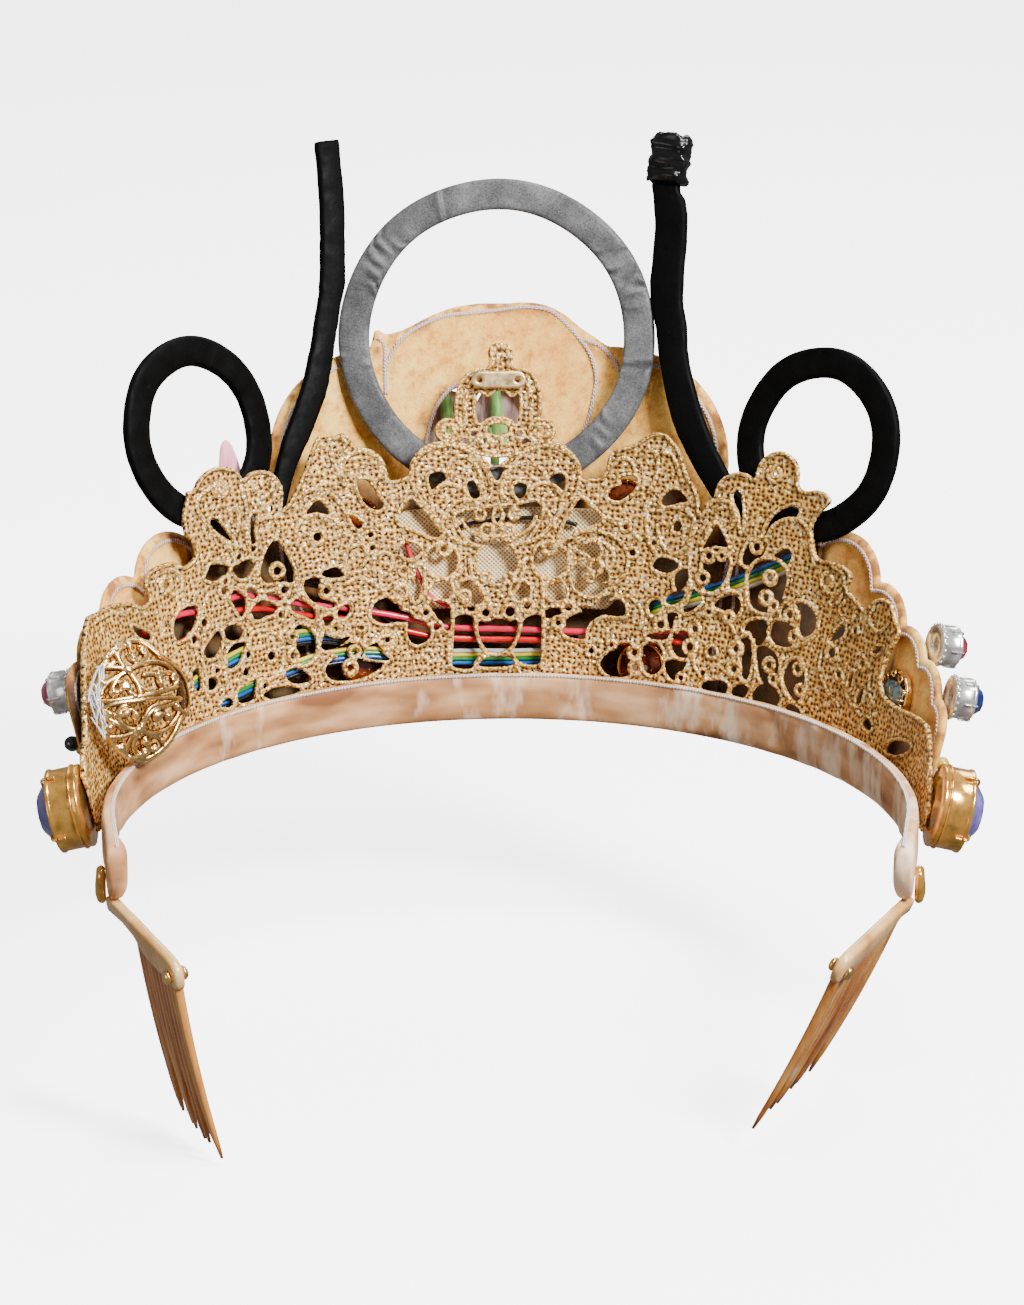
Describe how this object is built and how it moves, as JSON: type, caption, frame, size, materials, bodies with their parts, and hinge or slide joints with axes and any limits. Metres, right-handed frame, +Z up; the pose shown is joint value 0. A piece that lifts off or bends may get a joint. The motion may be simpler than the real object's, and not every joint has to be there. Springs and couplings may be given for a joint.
{
  "type": "diadem",
  "caption": "Diadem on a velvet headband: a standing wall of gold lace before lobed felt, with foam rings and spires, flat wires, set stones and a hair comb at each end.",
  "frame": {"origin": "centre of the head opening, level with the lower edge of the velvet band", "axes": "+Z up from the band's lower edge, +Y to the front of the head, +X to the right in a view from behind"},
  "size_m": [0.1733, 0.1738, 0.1499],
  "materials": {
    "velvet": "crushed",
    "lace": "metallic thread",
    "plate": "polished",
    "mesh": "woven",
    "felt": "matte",
    "foam_grey": "satin tape",
    "foam_black": "matte",
    "tape": "crumpled",
    "wire_red": "gloss",
    "wire_black": "gloss",
    "ribbon": "gloss",
    "gold": "polished",
    "silver": "polished",
    "amber": "cut",
    "violet": "cut",
    "pink": "cut",
    "red": "cut",
    "blue": "cut",
    "green": "cut",
    "bead_black": "gloss",
    "bead_yellow": "gloss",
    "stem": "matte",
    "petal": "satin",
    "comb": "satin"
  },
  "bodies": {
    "root": {"headband": "velvet", "lace_left": "lace", "lace_centre": "lace", "lace_right": "lace", "lace_crown": "lace", "name_plate": "plate", "mesh_pocket": "mesh", "felt_centre": "felt", "felt_left": "felt", "felt_right": "felt", "ring_centre": "foam_grey", "ring_left": "foam_black", "ring_right": "foam_black", "spire_left": "foam_black", "spire_right": "foam_black", "spire_cap": "tape", "wire_red_upper": "wire_red", "wire_red_lower": "wire_red", "wire_thin_red": "wire_red", "wire_black": "wire_black", "wire_thin_black": "wire_black", "ribbon_left_upper": "ribbon", "ribbon_left_lower": "ribbon", "ribbon_long": "ribbon", "filigree_disc": "gold", "setting_1": "gold", "setting_2": "gold", "setting_3": "gold", "setting_4": "gold", "bezel_left": "gold", "bezel_right": "gold", "openwork_green": "gold", "rivet_left": "gold", "rivet_right": "gold", "clasp_left": "gold", "clasp_right": "gold", "cup_pink": "silver", "cup_red": "silver", "cup_blue": "silver", "amber_1": "amber", "amber_2": "amber", "amber_3": "amber", "amber_4": "amber", "violet_left": "violet", "violet_right": "violet", "gem_pink": "pink", "gem_red": "red", "gem_blue": "blue", "gem_green": "green", "bead_black": "bead_black", "bead_yellow_left": "bead_yellow", "bead_yellow_right": "bead_yellow", "stem_left": "stem", "stem_right": "stem", "petal": "petal", "comb_left": "comb", "comb_right": "comb"}
  },
  "joints": []
}
